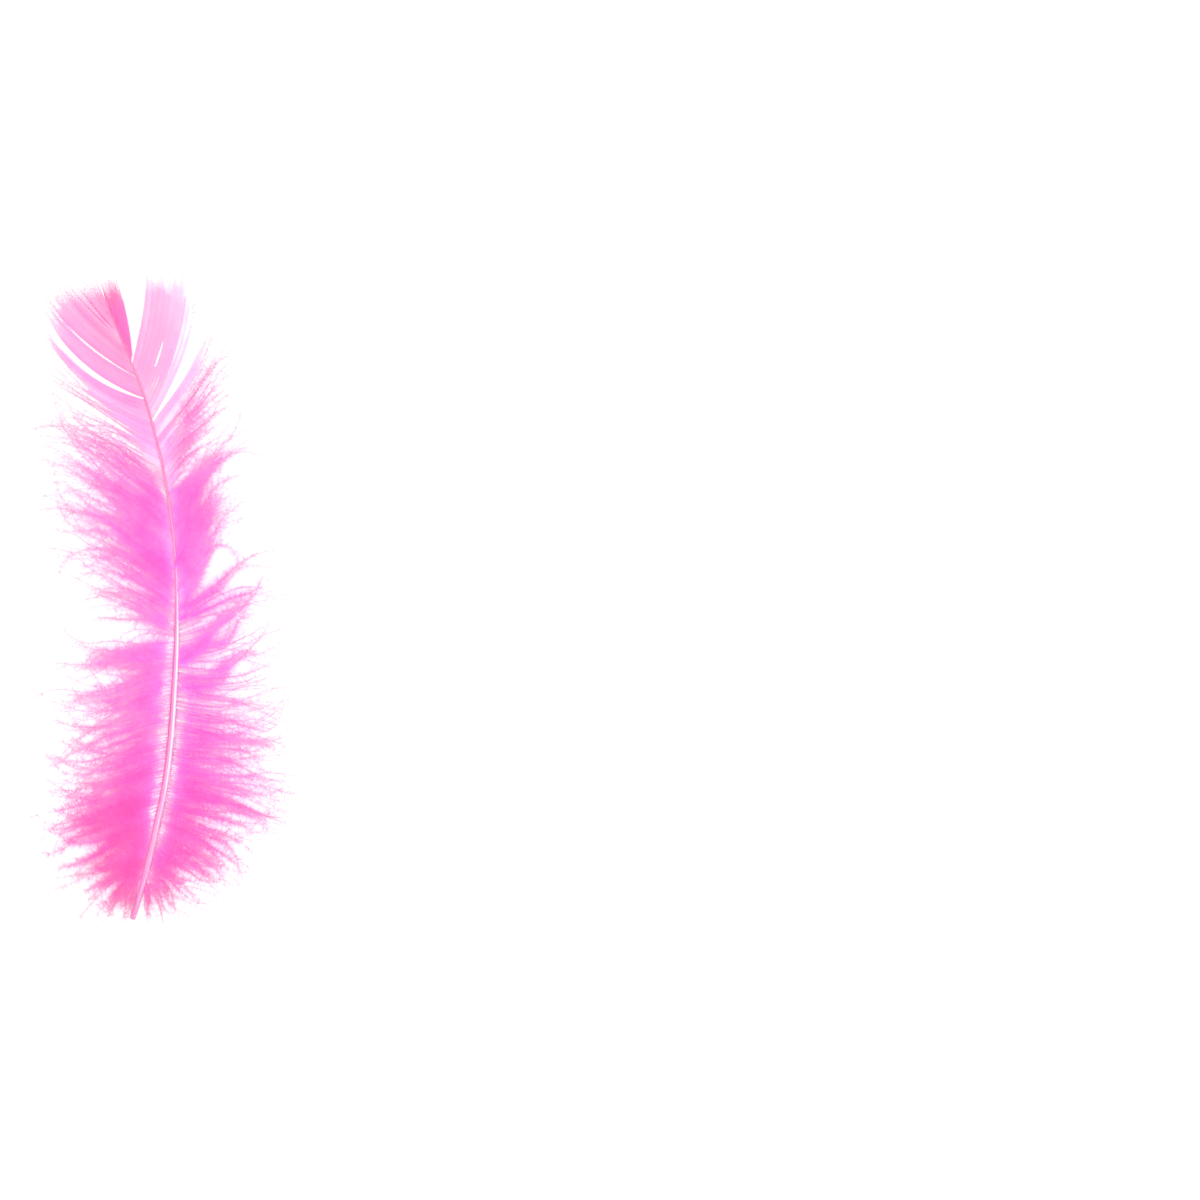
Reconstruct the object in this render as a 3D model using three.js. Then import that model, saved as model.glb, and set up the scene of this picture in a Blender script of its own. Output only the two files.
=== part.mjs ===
// A pink-dyed turkey feather lying flat on a surface, in millimetres with +Z up.
// +Y runs from the quill end to the tip and +X is to the right, seen from above. The origin is under
// the middle of the feather. A curved shaft carries rows of barbs: hooked together they are the thin
// vane at the tip, which is split into panels, and loose they are the soft down below it.
import * as THREE from 'three';

// Centre line of the shaft from the quill end to the tip, as [x, y, height above the surface].
const SHAFT_PATH = [
  [-5.9, -59.3, 2.2],
  [-3.9, -52.3, 2.7],
  [-1.7, -42.8, 3.1],
  [0.2, -31.6, 3.3],
  [1.7, -13.7, 3.2],
  [2.1, -3.1, 3.0],
  [1.7, 7.3, 2.7],
  [-0.2, 22.9, 2.1],
  [-3.7, 37.1, 1.5],
  [-6.2, 43.8, 1.25],
  [-9.9, 52.2, 1.0],
  [-11.0, 55.0, 0.9],
];
// Half width of the shaft at places along it: the rounded quill end, the stout rachis and the fine tip.
const SHAFT_WIDTH = [
  { at: 0, half: 0.3 },
  { at: 1, half: 0.52 },
  { at: 7, half: 0.56 },
  { at: 10, half: 0.66 },
  { at: 36, half: 0.56 },
  { at: 58, half: 0.28 },
  { at: 96, half: 0.17 },
  { at: 117, half: 0.08 },
];
const SHAFT_SIDES = 10;
const SHAFT_STEPS = 42;
const ARC_DIVISIONS = 600;

// Clearance between the shaft and the roots of the barbs.
const GAP_TO_SHAFT = 0.35;

// A vane panel: its thickness, the height of its outer edge and the rise halfway along a barb.
const VANE_THICKNESS = 0.4;
const VANE_TIP_HEIGHT = 0.45;
const VANE_CAMBER = 0.35;
const VANE_STEPS = { along: 8, out: 8, up: 1 };

// A tuft of down: its height at the shaft and at the tips, its rise between them, and the share of that
// height that is lost at its two ends.
const DOWN_ROOT_HEIGHT = 4.0;
const DOWN_TIP_HEIGHT = 1.2;
const DOWN_CROWN = 2.4;
const DOWN_END_DROP = 0.35;
const DOWN_STEPS = { along: 14, out: 8, up: 2 };

// Side of the shaft that a barb grows on, as a factor on the direction to the left.
const LEFT = 1;
const RIGHT = -1;
const BARB_STEPS = 40;

// Colours, roughness and metalness of the parts.
const SHAFT_LOOK = { color: 0xf59cc4, roughness: 0.38, metalness: 0 };
const LEFT_VANE_LOOK = { color: 0xffaadc, roughness: 0.62, metalness: 0 };
const RIGHT_VANE_LOOK = { color: 0xffc3f2, roughness: 0.62, metalness: 0 };
const FOLD_LOOK = { color: 0xff6fc0, roughness: 0.62, metalness: 0 };
const DOWN_LOOK = { color: 0xff66c8, roughness: 0.85, metalness: 0 };

// Panels of the vane and tufts of down, each from its lowest barb to its highest. A row is one barb:
// where it leaves the shaft, counted in millimetres from the quill end, its heading at the root, the
// middle and the tip, in degrees from +X towards +Y, and its length.
const VANE_PANELS = [
  {
    name: 'left_vane_lower',
    side: LEFT,
    look: LEFT_VANE_LOOK,
    barbs: [
      { at: 88.4, root: 147, middle: 140, tip: 130, length: 22.5 },
      { at: 97.4, root: 168, middle: 144, tip: 126, length: 22.4 },
    ],
  },
  {
    name: 'left_vane_middle',
    side: LEFT,
    look: LEFT_VANE_LOOK,
    barbs: [
      { at: 98.3, root: 164, middle: 142, tip: 129, length: 22 },
      { at: 101.7, root: 157, middle: 141, tip: 127, length: 21.4 },
    ],
  },
  {
    name: 'left_vane_tip',
    side: LEFT,
    look: LEFT_VANE_LOOK,
    barbs: [
      { at: 102.5, root: 154, middle: 141, tip: 125, length: 21 },
      { at: 108, root: 148, middle: 137, tip: 125, length: 15.6 },
      { at: 112, root: 139, middle: 131, tip: 122, length: 10 },
      { at: 116, root: 118, middle: 114, tip: 112, length: 4.2 },
    ],
  },
  {
    name: 'right_vane_lower',
    side: RIGHT,
    look: RIGHT_VANE_LOOK,
    barbs: [
      { at: 83.6, root: 60, middle: 68, tip: 66, length: 17 },
      { at: 92.4, root: 48, middle: 59, tip: 84, length: 21.6 },
    ],
  },
  {
    name: 'right_vane_flag',
    side: RIGHT,
    look: RIGHT_VANE_LOOK,
    barbs: [
      { at: 94, root: 56, middle: 68, tip: 86, length: 21.5 },
      { at: 96.5, root: 59, middle: 71, tip: 98, length: 25 },
      { at: 104.2, root: 82, middle: 74, tip: 98, length: 15.2 },
    ],
  },
  {
    name: 'right_vane_fold',
    side: RIGHT,
    look: FOLD_LOOK,
    barbs: [
      { at: 105.4, root: 92, middle: 102, tip: 108, length: 15.4 },
      { at: 115.5, root: 100, middle: 104, tip: 108, length: 4.6 },
    ],
  },
];

const DOWN_TUFTS = [
  {
    name: 'left_down_lower',
    side: LEFT,
    barbs: [
      { at: 6.6, root: 236, middle: 251, tip: 256, length: 7.2 },
      { at: 12, root: 220, middle: 234, tip: 216, length: 14 },
      { at: 18, root: 205, middle: 212, tip: 180, length: 17 },
      { at: 25, root: 195, middle: 196, tip: 170, length: 19.5 },
      { at: 33, root: 188, middle: 192, tip: 168, length: 20.6 },
      { at: 41, root: 184, middle: 200, tip: 162, length: 19.6 },
      { at: 47, root: 184, middle: 196, tip: 168, length: 18.6 },
      { at: 52, root: 186, middle: 190, tip: 174, length: 17.6 },
    ],
  },
  {
    name: 'left_down_upper',
    side: LEFT,
    barbs: [
      { at: 53.2, root: 148, middle: 166, tip: 182, length: 19.5 },
      { at: 57, root: 142, middle: 162, tip: 170, length: 20 },
      { at: 63, root: 136, middle: 150, tip: 152, length: 22 },
      { at: 71, root: 136, middle: 146, tip: 152, length: 24 },
      { at: 79, root: 138, middle: 146, tip: 150, length: 24.5 },
      { at: 87.2, root: 145, middle: 143, tip: 140, length: 23 },
    ],
  },
  {
    name: 'right_down_lower',
    side: RIGHT,
    barbs: [
      { at: 6.6, root: -88, middle: -99, tip: -101, length: 6.6 },
      { at: 10, root: -40, middle: -52, tip: -66, length: 12 },
      { at: 15, root: -18, middle: -28, tip: -46, length: 16.6 },
      { at: 22, root: -12, middle: -20, tip: -34, length: 19 },
      { at: 30, root: -10, middle: -14, tip: -18, length: 20 },
      { at: 38, root: -14, middle: -12, tip: 4, length: 20 },
      { at: 46.4, root: -16, middle: -10, tip: 10, length: 20 },
    ],
  },
  {
    name: 'right_down_middle',
    side: RIGHT,
    barbs: [
      { at: 47.4, root: -12, middle: 0, tip: 14, length: 19 },
      { at: 52, root: 8, middle: 22, tip: 30, length: 18 },
      { at: 57.4, root: 38, middle: 40, tip: 24, length: 17.4 },
    ],
  },
  {
    name: 'right_down_upper',
    side: RIGHT,
    barbs: [
      { at: 58.6, root: 46, middle: 46, tip: 30, length: 17.4 },
      { at: 63, root: 54, middle: 56, tip: 44, length: 18 },
      { at: 70, root: 58, middle: 60, tip: 48, length: 19.5 },
      { at: 82.4, root: 54, middle: 54, tip: 46, length: 19.5 },
    ],
  },
];

const shaftCurve = new THREE.CatmullRomCurve3(SHAFT_PATH.map(([x, y, z]) => new THREE.Vector3(x, y, z)));
shaftCurve.arcLengthDivisions = ARC_DIVISIONS;
const shaftLength = shaftCurve.getLength();

// The value of a row's field at a place along the shaft, straight between the rows on either side.
function between(rows, place, field) {
  const next = rows.findIndex((row) => row.at >= place);
  if (next === 0) {
    return rows[0][field];
  }
  if (next < 0) {
    return rows[rows.length - 1][field];
  }
  const before = rows[next - 1];
  const share = (place - before.at) / (rows[next].at - before.at);
  return THREE.MathUtils.lerp(before[field], rows[next][field], share);
}

// The shaft at a place along it: its middle, its own left and up directions, and its half width.
function shaftAt(place) {
  const share = THREE.MathUtils.clamp(place / shaftLength, 0, 1);
  const middle = shaftCurve.getPointAt(share);
  const along = shaftCurve.getTangentAt(share);
  const left = new THREE.Vector3(-along.y, along.x, 0).normalize();
  const up = new THREE.Vector3().crossVectors(along, left);
  return { middle, left, up, half: between(SHAFT_WIDTH, place, 'half') };
}

// The barb that leaves the shaft at a place, as points from its root to its tip, level with its root.
function barbAt(side, rows, place) {
  const { middle, left, half } = shaftAt(place);
  const point = middle.clone().addScaledVector(left, side * (half + GAP_TO_SHAFT));
  const heading = ['root', 'middle', 'tip'].map((field) => between(rows, place, field));
  const step = between(rows, place, 'length') / BARB_STEPS;
  const points = [point.clone()];
  for (let i = 0; i < BARB_STEPS; i += 1) {
    const v = (i + 0.5) / BARB_STEPS;
    const degrees = heading[0] * (1 - v) ** 2 + heading[1] * 2 * v * (1 - v) + heading[2] * v ** 2;
    const angle = THREE.MathUtils.degToRad(degrees);
    point.x += step * Math.cos(angle);
    point.y += step * Math.sin(angle);
    points.push(point.clone());
  }
  return points;
}

// A closed solid over a run of barbs: a block whose length goes up the shaft, whose width goes out along
// the barbs and whose height lies between the two heights that layer gives.
function barbSolid({ side, barbs }, steps, layer) {
  const block = new THREE.BoxGeometry(1, 1, 1, steps.along, steps.out, steps.up);
  const corner = block.attributes.position;
  const first = barbs[0].at;
  const last = barbs[barbs.length - 1].at;
  for (let i = 0; i < corner.count; i += 1) {
    const u = corner.getX(i) + 0.5;
    const v = side === LEFT ? corner.getY(i) + 0.5 : 0.5 - corner.getY(i);
    const barb = barbAt(side, barbs, THREE.MathUtils.lerp(first, last, u));
    const point = barb[Math.round(v * BARB_STEPS)];
    const { bottom, top } = layer(u, v, point.z);
    corner.setXYZ(i, point.x, point.y, THREE.MathUtils.lerp(bottom, top, corner.getZ(i) + 0.5));
  }
  block.computeVertexNormals();
  return block;
}

// A vane panel is thin and curves from the shaft down to the surface.
function vaneLayer(u, v, rootHeight) {
  const slope = THREE.MathUtils.lerp(rootHeight, VANE_TIP_HEIGHT, v);
  const middle = slope + VANE_CAMBER * Math.sin(Math.PI * v);
  return { bottom: middle - VANE_THICKNESS / 2, top: middle + VANE_THICKNESS / 2 };
}

// A tuft of down fills the space from the surface to a crowned top that is lower at both its ends.
function downLayer(u, v) {
  const slope = THREE.MathUtils.lerp(DOWN_ROOT_HEIGHT, DOWN_TIP_HEIGHT, v);
  const crowned = slope + DOWN_CROWN * Math.sin(Math.PI * v);
  return { bottom: 0, top: crowned * (1 - DOWN_END_DROP * (2 * u - 1) ** 4) };
}

function named(name, geometry, look) {
  const mesh = new THREE.Mesh(geometry, new THREE.MeshStandardMaterial(look));
  mesh.name = name;
  return mesh;
}

function shaft() {
  const rod = new THREE.CylinderGeometry(1, 1, 1, SHAFT_SIDES, SHAFT_STEPS);
  const corner = rod.attributes.position;
  for (let i = 0; i < corner.count; i += 1) {
    const { middle, left, up, half } = shaftAt((corner.getY(i) + 0.5) * shaftLength);
    middle.addScaledVector(left, -half * corner.getX(i)).addScaledVector(up, half * corner.getZ(i));
    corner.setXYZ(i, middle.x, middle.y, middle.z);
  }
  rod.computeVertexNormals();
  return named('shaft', rod, SHAFT_LOOK);
}

function vanePanel(panel) {
  return named(panel.name, barbSolid(panel, VANE_STEPS, vaneLayer), panel.look);
}

function downTuft(tuft) {
  return named(tuft.name, barbSolid(tuft, DOWN_STEPS, downLayer), DOWN_LOOK);
}

const vane = new THREE.Group();
VANE_PANELS.forEach((panel) => vane.add(vanePanel(panel)));

const down = new THREE.Group();
DOWN_TUFTS.forEach((tuft) => down.add(downTuft(tuft)));

const feather = new THREE.Group();
feather.name = 'turkey_feather';
feather.add(shaft(), vane, down);

export default feather;
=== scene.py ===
import math

import bpy
import numpy as np
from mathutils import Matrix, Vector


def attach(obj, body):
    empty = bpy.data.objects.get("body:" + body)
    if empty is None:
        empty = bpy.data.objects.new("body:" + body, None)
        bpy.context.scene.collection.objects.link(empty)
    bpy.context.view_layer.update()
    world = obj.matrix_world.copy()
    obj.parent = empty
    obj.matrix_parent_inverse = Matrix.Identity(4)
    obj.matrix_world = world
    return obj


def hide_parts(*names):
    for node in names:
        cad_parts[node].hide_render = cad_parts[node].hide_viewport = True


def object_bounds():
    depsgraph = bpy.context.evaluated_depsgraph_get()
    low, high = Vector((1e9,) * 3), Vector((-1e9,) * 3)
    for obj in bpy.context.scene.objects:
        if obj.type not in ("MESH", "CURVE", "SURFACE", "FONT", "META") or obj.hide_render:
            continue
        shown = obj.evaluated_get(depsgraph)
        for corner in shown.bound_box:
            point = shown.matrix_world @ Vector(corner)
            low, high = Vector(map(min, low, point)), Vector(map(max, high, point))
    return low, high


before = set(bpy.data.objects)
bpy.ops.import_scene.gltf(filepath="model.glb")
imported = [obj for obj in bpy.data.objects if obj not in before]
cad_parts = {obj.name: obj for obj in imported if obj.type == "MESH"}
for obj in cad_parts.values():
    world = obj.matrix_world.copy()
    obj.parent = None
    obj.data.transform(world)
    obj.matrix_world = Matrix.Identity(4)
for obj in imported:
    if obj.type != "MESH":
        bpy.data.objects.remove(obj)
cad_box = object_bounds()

# A pink-dyed turkey feather, lying flat. The shaft, every barb and every barbule is mesh.
# Lengths are millimetres and angles degrees until a mesh is made; headings turn from +X towards +Y.
MM = 0.001
UP = np.array([0.0, 0.0, 1.0])
LEFT, RIGHT = 1, -1

# Centre line of the shaft from the quill end to the tip: x, y and height above the surface.
SHAFT_PATH = [
    (-5.7, -59.3, 2.2), (-3.6, -52.3, 2.7), (-1.3, -42.8, 3.1), (0.9, -31.6, 3.3),
    (2.35, -13.7, 3.2), (2.6, -3.1, 3.0), (2.3, 7.3, 2.7), (0.1, 22.9, 2.1),
    (-3.6, 37.1, 1.5), (-6.2, 43.8, 1.25), (-9.9, 52.2, 1.0), (-11.0, 55.0, 0.9),
]
# Distance from the quill end and half width of the shaft there.
SHAFT_WIDTH = [
    (0, 0.48), (1, 0.52), (7, 0.58), (10, 0.66), (36, 0.62), (48, 0.54), (58, 0.36), (72, 0.29),
    (96, 0.19), (117, 0.06),
]

BARB_SPACING = 0.41
BARB_STEPS = 24


def tuft(side, rows, film=((0, 0),), loose=(1.0, 1.0), spacing=BARB_SPACING, clump=0.2, fluff=1.0,
         depth=0.0, slits=()):
    """A run of barbs on one side of the shaft.

    Rows go from its lowest barb to its highest: distance of the root from the quill end, heading at the
    root, in the middle and at the tip, and length. Film pairs distances from the quill end with the share
    of the barb there that is hooked to the next one. Loose says how far the lowest and the highest barb
    stray from the rows, clump what share of the wisps is drawn together, fluff how many loose barbules
    the barbs have, and depth is added to their dye. A slit has its place on the shaft, the shares of the
    barbs where it begins and ends, and its width.
    """
    return {
        "side": side, "rows": rows, "film": film, "loose": loose, "spacing": spacing, "clump": clump,
        "fluff": fluff, "depth": depth, "slits": slits,
    }


def panel(side, rows, depth=0.0, slits=()):
    """A run of barbs that are hooked to each other all the way."""
    return tuft(side, rows, film=[(0, 1.0)], loose=(0.0, 0.0), depth=depth, slits=slits)


def strand(way, barbs, spread=0.5, lift=1.6, fluff=0.6, depth=0.05):
    """A few barbs that keep together along a way of their own, given in plan from the shaft."""
    return {"way": way, "barbs": barbs, "spread": spread, "lift": lift, "fluff": fluff, "depth": depth}


VANE = {
    "left_vane_lower": [tuft(LEFT, [
        (88.0, 150, 144, 134, 23.5), (92.0, 157, 147, 128, 24.2), (97.4, 166, 148, 117, 24.6),
    ], film=[(88, 0.42), (92, 0.66), (95.2, 0.92), (97.3, 0.99)], loose=(0.45, 0.04), fluff=0.4, slits=[
        (89.2, 0.12, 0.4, 0.2), (91.0, 0.3, 0.6, 0.2), (93.2, 0.5, 0.85, 0.2),
    ])],
    "left_vane_middle": [panel(LEFT, [
        (98.1, 160, 144, 122, 24.0), (101.9, 155, 142, 125, 23.2),
    ])],
    "left_vane_tip": [panel(LEFT, [
        (102.4, 151, 142, 126, 22.8), (106, 146, 138, 124, 19.3), (110, 141, 133, 122, 14.3),
        (114, 128, 121, 116, 8.9), (116.4, 111, 110, 109, 5.6),
    ])],
    "right_vane_lower": [
        tuft(RIGHT, [
            (79.8, 60, 56, 50, 6.0), (83, 58, 54, 38, 15.0), (87, 56, 53, 38, 19.5),
            (90, 55, 53, 55, 20.5), (93.0, 55, 50, 80, 21.5),
        ], film=[
            (79.8, 0.85), (83, 0.46), (87, 0.42), (90, 0.54), (92, 0.9), (93, 0.97),
        ], loose=(0.8, 0.12), fluff=0.5),
        tuft(RIGHT, [
            (80.5, 58, 52, 34, 14.0), (90, 54, 46, 32, 23.0),
        ], film=[(80, 0.3)], loose=(1.3, 1.2), spacing=0.5, fluff=0.35),
    ],
    "right_vane_flag": [
        panel(RIGHT, [
            (95.2, 64, 70, 95, 27.2), (98, 66, 71, 97, 24.8), (101, 72, 73, 98, 21.8),
            (104.4, 80, 74, 96, 18.8),
        ], slits=[
            (95.9, 0.04, 0.19, 0.2), (96.7, 0.02, 0.2, 0.22), (97.5, 0.03, 0.16, 0.2),
            (98.6, 0.17, 0.4, 0.3), (96.3, 0.5, 0.9, 0.15),
        ]),
        tuft(RIGHT, [
            (94.4, 62, 66, 96, 26.0), (94.8, 63, 67, 96, 26.5),
        ], film=[(94, 0.95)], loose=(0.02, 0.02)),
        tuft(RIGHT, [
            (93.8, 60, 63, 89, 23.5), (94.1, 61, 63, 90, 24.0),
        ], film=[(93, 0.92)], loose=(0.04, 0.04)),
    ],
    "right_vane_fold": [
        panel(RIGHT, [(105.2, 92, 102, 106, 15.6), (116.0, 108, 108, 108, 4.6)], depth=0.5),
        panel(RIGHT, [(106.0, 96, 104, 107, 14.2), (110.0, 103, 106, 108, 10.0)], depth=0.8),
    ],
}
DOWN = {
    "left_down_lower": [
        tuft(LEFT, [
            (6.6, 236, 251, 256, 5.5), (9, 226, 238, 240, 9.4), (12, 218, 226, 215, 14.3),
            (17, 207, 210, 190, 18.3), (22, 198, 206, 175, 21.0), (28, 192, 218, 158, 21.0),
            (34, 188, 228, 150, 20.0), (41, 186, 230, 150, 19.0), (47, 185, 215, 158, 18.5),
            (52, 184, 198, 172, 18.0),
        ], clump=0.35, fluff=0.9),
        tuft(LEFT, [
            (7, 248, 244, 236, 7.0), (10, 232, 236, 225, 12.0), (14, 214, 218, 205, 17.0),
            (22, 198, 206, 178, 24.0), (34, 188, 214, 160, 28.0), (45, 185, 206, 165, 26.0),
            (52, 184, 192, 176, 22.0),
        ], loose=(1.5, 1.5), spacing=0.35, fluff=0.36),
        tuft(LEFT, [
            (6.2, 258, 262, 262, 7.0), (11, 232, 238, 234, 12.0),
        ], loose=(1.4, 1.4), spacing=0.3, fluff=0.3, depth=-0.35),
    ],
    "left_down_upper": [
        tuft(LEFT, [
            (53.2, 147, 150, 168, 17.5), (57, 144, 150, 166, 19.0), (63, 138, 148, 162, 22.5),
            (71, 138, 149, 164, 23.5), (79, 140, 150, 162, 24.0), (87.6, 147, 148, 152, 24.0),
        ], film=[(77, 0.0), (83, 0.2), (88, 0.4)], fluff=0.9),
        tuft(LEFT, [
            (54, 147, 150, 166, 23.0), (63, 139, 148, 162, 30.0), (72, 138, 149, 164, 34.0),
            (82, 141, 149, 162, 34.0),
        ], film=[(77, 0.0), (83, 0.2)], loose=(1.4, 1.2), spacing=0.35, fluff=0.36),
        tuft(LEFT, [
            (52.8, 162, 176, 188, 18.0), (55.0, 152, 168, 180, 20.0),
        ], loose=(1.4, 1.4), fluff=0.9),
    ],
    "right_down_lower": [
        tuft(RIGHT, [
            (6.6, -88, -99, -101, 5.0), (10, -42, -50, -60, 10.5), (14, -22, -34, -50, 14.5),
            (20, -14, -22, -38, 18.5), (26, -10, -16, -26, 21.0), (32, -8, -14, -8, 21.0),
            (38, -10, -18, 4, 20.0), (46.4, -12, -10, 16, 18.0),
        ], clump=0.35, fluff=0.9),
        tuft(RIGHT, [
            (7, -96, -84, -70, 5.0), (10, -58, -56, -54, 11.0), (14, -28, -38, -46, 17.0),
            (22, -14, -22, -34, 24.0), (32, -8, -14, -10, 27.0), (40, -10, -14, 4, 28.5),
            (46.4, -12, -6, 16, 27.0),
        ], loose=(1.5, 1.5), spacing=0.35, fluff=0.36),
        tuft(RIGHT, [
            (6.2, -84, -90, -88, 7.0), (11, -48, -56, -60, 12.0),
        ], loose=(1.4, 1.4), spacing=0.3, fluff=0.3, depth=-0.35),
    ],
    "right_down_middle": [tuft(RIGHT, [
        (47.0, -12, 0, 14, 23.0), (52, 8, 22, 30, 22.0), (57.4, 38, 40, 24, 20.0),
    ], clump=0.5, loose=(1.4, 1.4), spacing=0.3, fluff=0.5)],
    "right_down_upper": [
        tuft(RIGHT, [
            (57.8, 48, 84, 56, 19.0), (63, 58, 92, 66, 18.5), (70, 62, 92, 62, 15.5),
            (75, 50, 84, 48, 15.0), (79.4, 26, 62, 40, 14.5),
        ], fluff=0.9),
        tuft(RIGHT, [
            (58, 46, 80, 50, 22.0), (66, 58, 86, 56, 21.5), (74, 50, 76, 40, 20.0), (79, 30, 62, 38, 21.0),
        ], loose=(1.3, 1.3), spacing=0.35, fluff=0.36),
    ],
}
STRANDS = {
    "left_vane_tip": [
        strand([(-9.6, 50.0), (-12.0, 52.7), (-14.2, 55.5), (-16.1, 57.6)], 4, 0.1, 0.3, 0, 0.05),
        strand([(-10.1, 49.7), (-12.9, 52.4), (-15.4, 54.8), (-17.5, 57.2)], 2, 0.1, 0.3, 0, 0.0),
    ],
    "right_vane_fold": [
        strand([(-6.6, 45.8), (-8.2, 50.4), (-8.9, 54.2), (-9.2, 56.4)], 4, 0.3, 0.3, 0, 0.0),
    ],
    "right_down_upper": [
        strand([(1.5, 4.3), (4.6, 9.8), (7.8, 14.4), (10.5, 15.7), (13.5, 17.2)], 5),
        strand([(1.5, -0.4), (5.5, 5.2), (9.1, 9.8), (11.7, 9.2), (13.1, 6.7)], 2),
        strand([(1.3, -2.6), (6.5, -0.4), (10.5, 2.4), (13.1, 6.1), (16.8, 8.5)], 3),
        strand([(1.3, -4.4), (7.4, -2.6), (12.9, 0.0), (16.6, 1.1), (18.1, 3.7)], 3),
    ],
    "right_down_middle": [
        strand([(1.7, -12.9), (4.6, -11.1), (8.0, -7.8), (11.1, -4.1), (13.9, -1.3), (16.1, -0.6)], 9),
        strand([
            (1.7, -10.5), (7.4, -8.7), (11.7, -7.8), (13.1, -5.5), (14.1, -3.1), (16.1, -2.2), (18.1, -3.1),
        ], 4),
        strand([(1.7, -15.2), (6.5, -14.4), (10.5, -13.7), (12.4, -11.5), (14.8, -9.6), (17.9, -10.0)], 4),
    ],
    "right_down_lower": [
        strand([(-3.2, -52.6), (-2.4, -52.2), (-1.7, -52.6), (-1.6, -53.4)], 7, 0.25, 1.2, 0, -0.85),
        strand([
            (1.7, -17), (5.5, -16.6), (10.0, -15.9), (11.3, -12.8), (13.1, -11.1), (16.3, -10.5), (20, -8.5),
        ], 3),
    ],
    "left_down_upper": [
        strand([(1.9, -6.1), (-2.2, -3.3), (-6.3, -1.9), (-9.6, -2.4), (-12.4, -1.5)], 3, fluff=0.35),
        strand([(1.9, -5.5), (-2.8, -1.3), (-6.8, 1.1), (-10.5, 0.7), (-14.2, 2.2)], 3, fluff=0.35),
        strand([(1.9, -5.9), (-3.1, -2.6), (-8.0, -0.9), (-12.0, 0.4), (-16.1, -0.4)], 2, fluff=0.35),
    ],
    "left_down_lower": [
        strand([(-4.3, -53.0), (-5.2, -53.2), (-5.6, -54.0), (-5.0, -54.6)], 7, 0.25, 1.2, 0, -0.85),
        strand([
            (1.7, -11.5), (-3.7, -11.5), (-8.3, -10.9), (-11.5, -10.5), (-13.1, -11.5), (-13.9, -13.1),
            (-12.9, -14.8),
        ], 4),
        strand([
            (1.4, -20.0), (-2.8, -20.5), (-6.5, -20.2), (-9.4, -19.6), (-11.8, -17.6), (-13.5, -15.2),
            (-14.4, -12.8),
        ], 2, fluff=0.4),
    ],
}

# Tables of values along the shaft, by distance from the quill end.
# Depth of the dye in loose down and in film, 1 the deepest that shows.
DOWN_DYE = [
    (0, 1.15), (24, 1.02), (34, 0.82), (50, 0.75), (58, 0.75), (76, 0.75), (90, 0.7), (117, 0.6),
]
FILM_DYE = {
    LEFT: [(60, 0.28), (88, 0.3), (97, 0.44), (104, 0.5), (117, 0.46)],
    RIGHT: [(60, 0.25), (93, 0.27), (100, 0.35), (117, 0.38)],
}
# How far the pink leans from lilac to rose.
ROSE = {
    LEFT: [
        (0, 0.7), (10, 0.55), (25, 0.3), (40, 0.18), (55, 0.1), (75, 0.05), (90, 0.4), (97, 0.65),
        (104, 0.85), (117, 0.85),
    ],
    RIGHT: [
        (0, 0.6), (10, 0.42), (25, 0.2), (40, 0.08), (52, 0.0), (75, 0.0), (88, 0.35), (98, 0.7),
        (104, 0.75), (106, 0.85), (117, 0.9),
    ],
}
# How many loose barbules.
FLUFF = {
    LEFT: [
        (0, 0.25), (8, 0.5), (11, 0.9), (14, 1.15), (25, 1.25), (32, 0.55), (36, 0.45), (44, 0.6),
        (50, 0.9), (52.5, 0.85), (53, 0.2), (56, 0.25), (60, 0.6), (65, 0.8), (70, 0.65), (74, 0.42),
        (77, 0.25), (79.6, 0.15), (82, 0.1), (98, 0.1),
    ],
    RIGHT: [
        (0, 0.25), (8, 0.4), (11, 0.6), (14, 0.65), (20, 0.52), (25, 0.55), (30, 0.5), (36, 0.28),
        (44, 0.19), (55, 0.22), (58, 0.5), (62, 0.85), (70, 1.0), (78, 0.8), (86, 0.55), (93, 0.4),
    ],
}
# Length of the bare stalk at the root of each barb.
BARE = {
    LEFT: [
        (0, 0.3), (14, 0.4), (20, 1.2), (30, 2.0), (45, 2.0), (50, 1.6), (58, 1.0), (66, 0.6), (80, 0.3),
    ],
    RIGHT: [
        (0, 0.3), (14, 0.4), (18, 1.5), (26, 1.3), (40, 1.5), (48, 2.7), (55, 2.2), (60, 1.0), (66, 0.6),
        (80, 0.3),
    ],
}


def smooth_path(points, steps):
    """Points of a centripetal Catmull-Rom curve through the given ones."""
    p = np.array(points, float)
    p = np.vstack([2 * p[0] - p[1], p, 2 * p[-1] - p[-2]])
    t = np.linspace(0, 1, steps, endpoint=False)[:, None]
    found = []
    for a, b, c, d in zip(p, p[1:], p[2:], p[3:]):
        k0, k1, k2 = (math.sqrt(np.linalg.norm(e - s)) for s, e in ((a, b), (b, c), (c, d)))
        start = ((b - a) / k0 - (c - a) / (k0 + k1) + (c - b) / k1) * k1
        end = ((c - b) / k1 - (d - b) / (k1 + k2) + (d - c) / k2) * k1
        square = 3 * (c - b) - 2 * start - end
        cube = 2 * (b - c) + start + end
        found.append(b + start * t + square * t**2 + cube * t**3)
    return np.vstack([*found, p[-2]])


def unit(v):
    return v / np.maximum(np.linalg.norm(v, axis=-1, keepdims=True), 1e-9)


def lengths_along(points):
    return np.concatenate([[0], np.cumsum(np.linalg.norm(np.diff(points, axis=0), axis=1))])


SHAFT_STEPS = 40
CENTRE = smooth_path(SHAFT_PATH, SHAFT_STEPS)
PLACE = lengths_along(CENTRE)
ALONG = unit(np.gradient(CENTRE, PLACE, axis=0))


def columns_at(place, places, values):
    """Points or directions, read between the places at which they are given."""
    return np.stack([np.interp(place, places, axis) for axis in values.T], axis=-1)


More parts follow.
